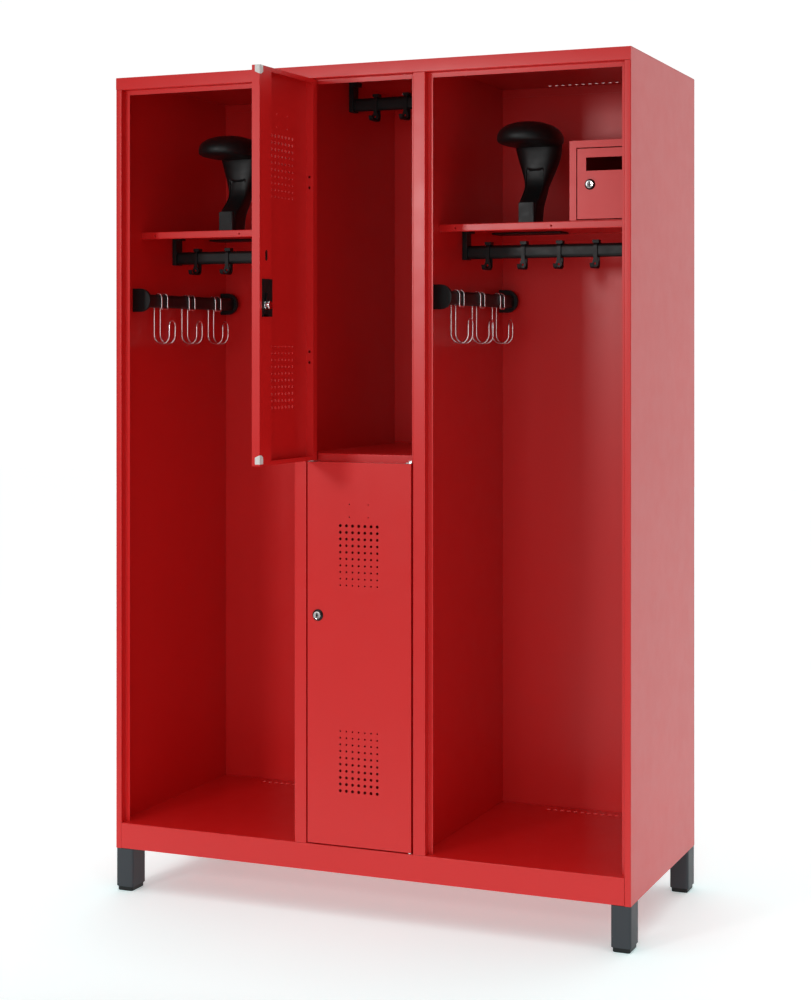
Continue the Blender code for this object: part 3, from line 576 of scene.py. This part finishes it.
def wire_hook(name):
    """Twin strands over the bar, joined by an arch at the tip and a bar underneath."""
    radius = 0.00175
    bar_radius, shoulder, spread_y = 0.0075, 0.0075, 0.013
    low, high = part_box(name)
    over = bar_radius + radius + 0.0006
    centre = Vector((low.x + radius + over, (low.y + high.y) / 2,
                     high.z - radius - over - shoulder))
    tip_x = 0.030
    reach = (tip_x + over) / 2
    strand = arc(((tip_x - over) / 2, -0.077), reach, 0, -180, 20)
    strand += arc((0, shoulder), over, 180, 0, 16)
    strand += [(over, -0.0178)]
    arch = arc((0, -0.057), spread_y, 180, 0, 16)
    corners = [Vector((tip_x, y, z)) for y, z in arch]
    corners += [Vector((x, spread_y, z)) for x, z in strand]
    corners += [Vector((x, -spread_y, z)) for x, z in reversed(strand)]
    route = rounded_route(corners, 0.004)
    curve = bpy.data.curves.new(name + "_wire", "CURVE")
    curve.dimensions = "3D"
    curve.bevel_depth = radius
    curve.bevel_resolution = 4
    spline = curve.splines.new("POLY")
    spline.points.add(len(route) - 1)
    for point, co in zip(spline.points, route):
        point.co = (*co, 1.0)
    spline.use_cyclic_u = True
    spline.use_smooth = True
    curve.materials.append(STEEL)
    obj = bpy.data.objects.new(name + "_wire", curve)
    bpy.context.scene.collection.objects.link(obj)
    return settle(obj, name, Matrix.Translation(centre), (name,))


for side in ("left", "right"):
    for number in (1, 2, 3):
        wire_hook(f"wire_hook_{side}_{number}")


# ---------------------------------------------------------------------------- helmet holders

def smooth_step(value, start, end):
    """0 below start, 1 above end, smooth in between."""
    t = min(max((value - start) / (end - start), 0.0), 1.0)
    return t * t * (3 - 2 * t)


def between(table, height):
    """Row of a table at a height, on a smooth curve through its entries."""
    last = len(table) - 1
    index = max([i for i in range(last) if table[i][0] <= height], default=0)
    rows = [table[min(max(index + step, 0), last)] for step in (-1, 0, 1, 2)]
    before, lower, upper, after = rows
    span = upper[0] - lower[0]
    t = min(max((height - lower[0]) / span, 0.0), 1.0)
    result = []
    for b, p, q, a in zip(*(row[1:] for row in rows)):
        start = (q - b) / (upper[0] - before[0]) * span
        end = (a - p) / (after[0] - lower[0]) * span
        rise = t * t * (3 - 2 * t)
        result.append(p + (q - p) * rise + start * t * (1 - t) ** 2 - end * t * t * (1 - t))
    return result


def oval(half_x, half_y, power, count):
    """Points of a superellipse, evenly spaced in angle."""
    points = []
    for i in range(count):
        a = 2 * math.pi * i / count
        c, s = math.cos(a), math.sin(a)
        points.append((half_x * math.copysign(abs(c) ** (2 / power), c),
                       half_y * math.copysign(abs(s) ** (2 / power), s)))
    return points


NECK = (
    # height, shift to the rear, half width, half depth, squareness
    (0.0000, 0.0030, 0.0203, 0.0285, 7.0),
    (0.0400, 0.0095, 0.0212, 0.0295, 7.0),
    (0.0511, 0.0140, 0.0226, 0.0290, 6.0),
    (0.0713, 0.0323, 0.0233, 0.0256, 5.0),
    (0.0870, 0.0440, 0.0236, 0.0236, 4.5),
    (0.0969, 0.0500, 0.0260, 0.0250, 4.0),
    (0.1067, 0.0541, 0.0291, 0.0268, 3.6),
    (0.1283, 0.0595, 0.0374, 0.0310, 3.0),
    (0.1453, 0.0617, 0.0440, 0.0335, 2.7),
    (0.1561, 0.0617, 0.0472, 0.0347, 2.6),
    (0.1700, 0.0592, 0.0505, 0.0345, 2.5),
    (0.1860, 0.0545, 0.0530, 0.0340, 2.4),
)
NECK_TOP = 0.1850
HEAD_BOTTOM, HEAD_WIDEST, HEAD_TOP = 0.1742, 0.1890, 0.2270
HEAD_HALF_X, HEAD_HALF_Y, HEAD_SHIFT, HEAD_POWER = 0.0685, 0.0900, 0.0030, 2.2
RIM_POWER = 3.6
HEAD_CREASE, CREASE_DEPTH = 0.2195, 0.035         # height, share of the head's width
GROOVE_HALF, GROOVE_DEPTH, GROOVE_ARCH = 0.0202, 0.0045, 0.1265
GROOVE_FOOT = (0.050, 0.064)


def head_rows():
    """Heights and sizes of the head's rings: a round rim, a dome and a crease near its top."""
    rows = []
    for low, high, steps in ((HEAD_BOTTOM, HEAD_WIDEST, 9), (HEAD_TOP, HEAD_WIDEST, 24)):
        part = []
        for step in range(steps):
            t = math.cos(math.pi / 2 * (step + 0.35) / steps)
            height = high + (low - high) * t
            power = RIM_POWER if low < high else HEAD_POWER
            part.append((height, (1 - t ** power) ** (1 / power)))
        rows += part if low < high else part[::-1]
    step_back = [smooth_step(z, HEAD_CREASE, HEAD_CREASE + 0.0008) for z, _ in rows]
    return [(z, size * (1 - CREASE_DEPTH * back)) for (z, size), back in zip(rows, step_back)]


def helmet_holder(side):
    """Stand with a swept neck, a domed head, a front plate with a tab, and a foot plate."""
    name = f"helmet_holder_{side}"
    low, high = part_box(name)
    base = Vector(((low.x + high.x) / 2, (low.y + high.y) / 2, low.z))
    levels, count = 72, 96
    rings = []
    for level in range(levels + 1):
        height = NECK_TOP * level / levels
        shift, half_x, half_y, power = between(NECK, height)
        ring = []
        for u, v in oval(half_x, half_y, power, count):
            arch = GROOVE_ARCH + 10.0 * u ** 2
            groove = smooth_step(-v / half_y, 0.30, 0.65)
            groove *= smooth_step(GROOVE_HALF - abs(u), 0.0, 0.0016)
            groove *= smooth_step(arch - height, 0.0, 0.003)
            groove *= smooth_step(height, *GROOVE_FOOT)
            ring.append(base + Vector((u, v + shift + GROOVE_DEPTH * groove, height)))
        rings.append(ring)
    neck = soften(loft(name + "_neck", rings, BLACK), 0.0012, 2)
    settle(neck, "cabinet", None, (name,))
    rings = []
    for height, size in head_rows():
        rings.append([base + Vector((u, v + HEAD_SHIFT, height)) for u, v in
                      oval(size * HEAD_HALF_X, size * HEAD_HALF_Y, HEAD_POWER, count)])
    head = loft(name + "_head", rings, BLACK)
    settle(soften(head), "cabinet")
    plate = extruded(name + "_plate", rounded_box(-0.0175, 0.0175, 0.001, 0.050, 0.0030),
                     front_point, (0.0, 0.0120), BLACK)
    front = base + Vector((0, NECK[0][1] - NECK[0][3] - 0.0012, 0))
    settle(soften(plate, 0.0006), "cabinet", Matrix.Translation(front))
    tab = extruded(name + "_tab", rounded_box(0.0090, 0.0160, 0.024, 0.048, 0.0015),
                   front_point, (-0.0014, 0.001), BLACK)
    settle(soften(tab, 0.0004), "cabinet", Matrix.Translation(front))
    foot = extruded(name + "_foot", rounded_box(-0.0220, 0.0220, -0.0300, 0.0320, 0.004),
                    plan_point, (0.0, 0.0030), BLACK)
    settle(soften(foot, 0.0008), "cabinet", Matrix.Translation(base + Vector((0, 0.003, 0))))


for side in ("left", "right"):
    helmet_holder(side)


# --------------------------------------------------------------------------------- door fittings

BUFFER_INSET = 0.0040    # clear of the tabs that hold the middle pivots


def corner_buffer(leaf, top):
    """White buffer clipped over the door's lock-side corner, from its edge on to its lip."""
    name = f"{leaf.name}_door_buffer_{'top' if top else 'bottom'}"
    thick, tall, bend, round_end = 0.0008, 0.0185, 0.0010, 0.0045
    edge_start, lip_end = 0.0065, DOOR_WIDTH - 0.0135
    outside = [(DOOR_WIDTH + thick, edge_start + 0.0008), (DOOR_WIDTH + thick, DOOR_THICK - bend)]
    outside += arc((DOOR_WIDTH + thick - bend, DOOR_THICK + thick - bend), bend, 0, 90, 6)
    outside += [(DOOR_WIDTH - 0.0060, DOOR_THICK + thick), (lip_end, DOOR_THICK + thick)]
    inside = [(x - 0.0011 if y < DOOR_THICK - bend else min(x, DOOR_WIDTH - 0.0003),
               min(y, DOOR_THICK - 0.0003)) for x, y in outside]
    length = [0.0]
    for (x0, y0), (x1, y1) in zip(outside, outside[1:]):
        length.append(length[-1] + math.hypot(x1 - x0, y1 - y0))
    rings = []
    rows = 10
    for step, (out, back) in enumerate(zip(outside, inside)):
        from_end = min(length[step], length[-1] - length[step])
        along = min(from_end / round_end, 1.0)
        first, last = round_end * (1 - math.sqrt(max(0.0, 1 - (1 - along) ** 2))), tall
        ring = []
        for row in range(rows + 1):
            z = first + (last - first) * row / rows
            ring.append((*out, z))
        for row in range(rows + 1):
            z = last - (last - first) * row / rows
            ring.append((*back, z))
        rings.append(ring)
    foot = DOOR_HEIGHT - tall + 0.0002 if top else -0.0002
    if (leaf.name, top) in (("upper", False), ("lower", True)):
        foot += -BUFFER_INSET if top else BUFFER_INSET
    placed = []
    for ring in rings:
        placed.append([leaf.at(x, y, foot + (z if top else tall - z)) for x, y, z in ring])
    buffer = loft(name, placed, WHITE)
    settle(soften(buffer, 0.0003), leaf.body, leaf.matrix)


def pivot_bush(leaf, top):
    """White bush around the hinge pin, flush with the door's end."""
    name = f"{leaf.name}_door_bush_{'top' if top else 'bottom'}"
    inner, outer = 0.00292, 0.0040
    level = DOOR_HEIGHT if top else 0.0
    way = -1 if top else 1
    profile = [(inner, 0.0022), (inner, -0.00015), (outer, -0.00015), (outer, 0.0022)]
    bush = turned(name, profile, WHITE, (0, 0, level), (0, 0, way), closed=True, steps=32)
    settle(soften(bush, 0.0001), leaf.body, leaf.matrix)


def lock_ring(name, body, matrix, centre, face_y, radius):
    """Black ring between the door's face and the lock cylinder."""
    profile = [(0.0089, 0.0), (0.0089, 0.0042), (0.0096, 0.0046), (radius - 0.0022, 0.0036),
               (radius - 0.0007, 0.0022), (radius, 0.0008), (radius, 0.0)]
    at = (centre[0], face_y, centre[1])
    ring = turned(name, profile, RING, at, (0, -1, 0), closed=True)
    settle(soften(ring), body, matrix)


def keyway(count):
    """Outline of the key slot, wide in the middle and narrow at both ends."""
    points = []
    for i in range(count):
        a = 2 * math.pi * i / count
        wide = 0.0010 + 0.0013 * math.exp(-((math.sin(a)) / 0.35) ** 2)
        points.append((wide * math.cos(a) / max(abs(math.cos(a)), 0.35), 0.0054 * math.sin(a)))
    return points


def plug_mesh(name, front, rear, collar):
    """Cylinder along Y about the lock axis, with a collar and a recessed key slot."""
    count = 48
    radius, flange = 0.0085, 0.0095
    circle = [(math.cos(2 * math.pi * i / count), math.sin(2 * math.pi * i / count))
              for i in range(count)]
    slot = keyway(count)
    levels = (
        (0.0070, rear), (0.0079, rear - 0.0005), (radius, rear - 0.0014), (radius, collar + 0.0010),
        (flange - 0.0003, collar + 0.0010), (flange, collar + 0.0007), (flange, collar + 0.0002),
        (flange - 0.0002, collar), (radius, collar), (radius, front + 0.0008),
        (0.0078, front), (0.0072, front + 0.0005),
    )
    rings = [[Vector((r * u, y, r * v)) for u, v in circle] for r, y in levels]
    rings.append([Vector((u * 1.25, front + 0.0005, v * 1.08)) for u, v in slot])
    rings.append([Vector((u, front + 0.0012, v)) for u, v in slot])
    rings.append([Vector((u, front + 0.0060, v)) for u, v in slot])
    return loft(name, rings, CHROME)


def cam_mesh(name, y, length, way):
    """Flat cam with round ends about the lock axis, pointing along Z."""
    half, tip = 0.0075, length - 0.004
    outline = arc((0, 0), half, 180, 360, 12) if way > 0 else arc((0, 0), half, 0, 180, 12)
    first = 0 if way > 0 else 180
    ends = arc((0, way * tip), 0.004, first, first + 180, 10)
    return extruded(name, outline + ends, front_point, (y - 0.001, y + 0.001), RING)


def build_lock(name, leaf_matrix, at, face_y, front, rear, cam_y, cam_length, way, ring_radius,
               door_body):
    """Ring, cylinder and cam of one lock: at is (x, z) in the coordinates of its door."""
    lock_body = name + "_lock"
    place_at = leaf_matrix @ Matrix.Translation((at[0], face_y, at[1]))
    plug = plug_mesh(name + "_lock_cylinder", -front, rear, cam_y - 0.0025)
    settle(soften(plug), lock_body, place_at, (name + "_lock_plug",))
    # Black prism inside the key slot: painted shade that darkens the slot.
    keyway_shade = extruded(name + "_lock_keyhole", [(0.97 * u, 0.99 * v) for u, v in keyway(48)],
                      front_point, (0.0014 - front, 0.0056 - front), RING)
    settle(soften(keyway_shade), lock_body, place_at)
    cam = cam_mesh(name + "_lock_cam", cam_y, cam_length, way)
    settle(soften(cam, 0.0003), lock_body, place_at)
    lock_ring(name + "_lock_ring", door_body, leaf_matrix, at, face_y, ring_radius)


for leaf in LEAVES:
    for top in (False, True):
        corner_buffer(leaf, top)
        pivot_bush(leaf, top)
    spot = leaf.at(LOCK_X, 0, leaf.lock_z)
    build_lock(leaf.name, leaf.matrix, (spot.x, spot.z), -HINGE_Y, 0.0055, 0.030, 0.0224,
               0.026, leaf.hand, 0.0125, leaf.body)

# The valuables door's plan: hinge 3 mm from its right edge and its face
axis = Vector(JOINTS["valuables_door_hinge"]["pos_m"])
low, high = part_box("valuables_door")
valuables = Matrix.Translation((axis.x, axis.y, low.z))
lock_axis = Vector(JOINTS["valuables_lock_turn"]["pos_m"])
build_lock("valuables", valuables, (lock_axis.x - axis.x, lock_axis.z - low.z), low.y - axis.y,
           0.005, 0.023, 0.015, 0.036, -1, 0.0112, "valuables_door")


# ----------------------------------------------------------------------------- bracket details

def bracket_rim(side, rear):
    """Raised rim of a D-shaped side bar bracket."""
    name = f"side_bar_{side}"
    low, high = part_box(name)
    middle = (low.z + high.z) / 2
    nose = high.x - 0.0265
    thick = 0.0026
    outer = arc((nose, middle), 0.0262, -90, 90, 24) + [(low.x + 0.0006, middle + 0.0262),
                                                       (low.x + 0.0006, middle - 0.0262)]
    inner = arc((nose, middle), 0.0262 - thick, -90, 90, 24) + [
        (low.x + 0.0006 + thick, middle + 0.0262 - thick),
        (low.x + 0.0006 + thick, middle - 0.0262 + thick)]
    face = high.y - 0.008 if rear else low.y
    rings = []
    for outline, y in ((outer, face + 0.0005), (outer, face - 0.0012), (inner, face - 0.0012),
                       (inner, face + 0.0005)):
        rings.append([Vector((x, y, z)) for x, z in outline])
    end = "rear" if rear else "front"
    rim = loft(f"{name}_{end}_rim", rings, BLACK, closed=True)
    settle(soften(rim, 0.0004), "cabinet")


def under_shelf_shade_plate(side):
    """Flat black plate under the rear of the hat shelf, beside the bay's left wall: painted shade where the
    shelf's underside lies dark.
    """
    low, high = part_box(f"hat_shelf_{side}")
    centre = Vector((low.x + 0.095, high.y - 0.075, high.z - 0.0014))
    plate = extruded(f"hat_shelf_{side}_shade_plate", rounded_box(-0.085, 0.085, -0.030, 0.030, 0.008),
                     plan_point, (-0.0040, 0.0), BLACK)
    settle(soften(plate, 0.0008), "cabinet", Matrix.Translation(centre))


def corner_bead(side, outward):
    """Rounded bead along the inner corner between a side panel and the top panel."""
    low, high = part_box("top_panel")
    panel_low, panel_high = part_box(f"side_panel_{side}")
    wall = panel_low.x + SHEET if outward < 0 else panel_high.x - SHEET
    ceiling = high.z - SHEET
    sunk, radius = 0.0004, 0.0022
    outline = [(wall + outward * sunk, ceiling + sunk), (wall - outward * radius, ceiling + sunk)]
    outline += [(wall - outward * radius * math.cos(a), ceiling - radius * math.sin(a))
                for a in (math.pi / 2 * step / 6 for step in range(7))]
    outline += [(wall + outward * sunk, ceiling - radius)]
    bead = extruded(f"top_joint_{side}_bead", outline, front_point,
                    (low.y + 0.004, high.y - 0.004), RED)
    settle(soften(bead), "cabinet")


def latch_hole_shade_plate(leaf):
    """Dark plate behind the oblong latch hole in a door's lip: painted shade that keeps the hole dark."""
    left, right, half, _ = LATCH_HOLE
    latch_z, cover = DOOR_HEIGHT / 2 + leaf.hand * LATCH_OFFSET, 0.003
    outline = rounded_box(LOCK_X + left - cover, LOCK_X + right + cover,
                          latch_z - half - cover, latch_z + half + cover, cover)
    plate = extruded(f"{leaf.name}_latch_backing", outline, leaf.through, (0.0140, 0.0166), RING)
    settle(soften(plate, 0.0004), leaf.body, leaf.matrix)


for side, outward in (("left", -1), ("right", 1)):
    bracket_rim(side, True)
    under_shelf_shade_plate(side)
    corner_bead(side, outward)
for leaf in LEAVES:
    latch_hole_shade_plate(leaf)


# ------------------------------------------------------------------------------ stage and light

def aimed_light(name, location, target, size, energy, colour=(1.0, 1.0, 1.0)):
    """Square area light aimed at a point."""
    light = bpy.data.lights.new(name, "AREA")
    light.size = size
    light.energy = energy
    light.color = colour
    obj = bpy.data.objects.new(name, light)
    obj.location = location
    obj.rotation_euler = (Vector(target) - Vector(location)).to_track_quat("-Z", "Y").to_euler()
    bpy.context.scene.collection.objects.link(obj)
    return obj


WORLD_FRONT, WORLD_BACK, WORLD_TOP = 0.23, 1.02, 1.27


def studio():
    """White surroundings, brighter behind and above the locker than in front of it."""
    world = bpy.data.worlds.new("studio")
    bpy.context.scene.world = world
    world.use_nodes = True
    tree = world.node_tree
    background = tree.nodes["Background"]
    place = node(tree, "ShaderNodeTexCoord")
    split = node(tree, "ShaderNodeSeparateXYZ")
    tree.links.new(place.outputs["Generated"], split.inputs["Vector"])
    level = spread(tree, split.outputs["Y"], WORLD_FRONT, WORLD_BACK, 0.55, 0.80)
    overhead = spread(tree, split.outputs["Z"], 0.0, WORLD_TOP, 0.6, 0.95)
    total = node(tree, "ShaderNodeMath", operation="ADD")
    tree.links.new(level, total.inputs[0])
    tree.links.new(overhead, total.inputs[1])
    tree.links.new(total.outputs["Value"], background.inputs["Strength"])
    background.inputs["Color"].default_value = (1.0, 1.0, 1.0, 1.0)


studio()
aimed_light("key", (-1.34, -3.63, 1.80), (0.15, -0.13, 1.20), 0.5, 27.0)
aimed_light("fill", (1.0, -6.4, 1.1), (0.0, 0.0, 0.95), 3.0, 68.0)

FLOOR_GLOW = 0.34
FLOOR_SIZE = 12.0
floor = mesh_object("studio_floor", [
    (x * FLOOR_SIZE, y * FLOOR_SIZE, 0) for x, y in ((-1, -1), (1, -1), (1, 1), (-1, 1))],
    [(0, 1, 2, 3)], WHITE)
paint, paint_tree, paint_shader = shader("studio_floor_paint")
paint_place = node(paint_tree, "ShaderNodeTexCoord")
paint_split = node(paint_tree, "ShaderNodeSeparateXYZ")
paint_tree.links.new(paint_place.outputs["Object"], paint_split.inputs["Vector"])
paint_colour = blend_colours(
    paint_tree, spread(paint_tree, paint_split.outputs["Y"], 0.0, 1.0, -2.5, -1.0),
    (0.40, 0.40, 0.40), (0.95, 0.95, 0.95))
paint_tree.links.new(paint_colour, paint_shader.inputs["Base Color"])
paint_glow = spread(paint_tree, paint_split.outputs["Y"], 0.0, FLOOR_GLOW, -1.4, -0.6)
paint_tree.links.new(paint_glow, paint_shader.inputs["Emission Strength"])
paint_shader.inputs["Emission Color"].default_value = (0.68, 1.0, 1.0, 1.0)
paint_shader.inputs["Roughness"].default_value = 0.85
floor.material_slots[0].material = paint
floor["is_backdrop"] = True

camera = bpy.data.objects.new("camera", bpy.data.cameras.new("camera"))
bpy.context.scene.collection.objects.link(camera)
camera.location = (1.659, -3.68045, 1.2137)
camera.rotation_euler = (math.radians(90), 0, math.radians(21.62))
camera.data.lens = 66.3
camera.data.sensor_width = 36
camera.data.shift_x = -0.0645
camera.data.shift_y = -0.1515
bpy.context.scene.camera = camera
bpy.context.scene.view_settings.view_transform = "Standard"

low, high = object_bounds()
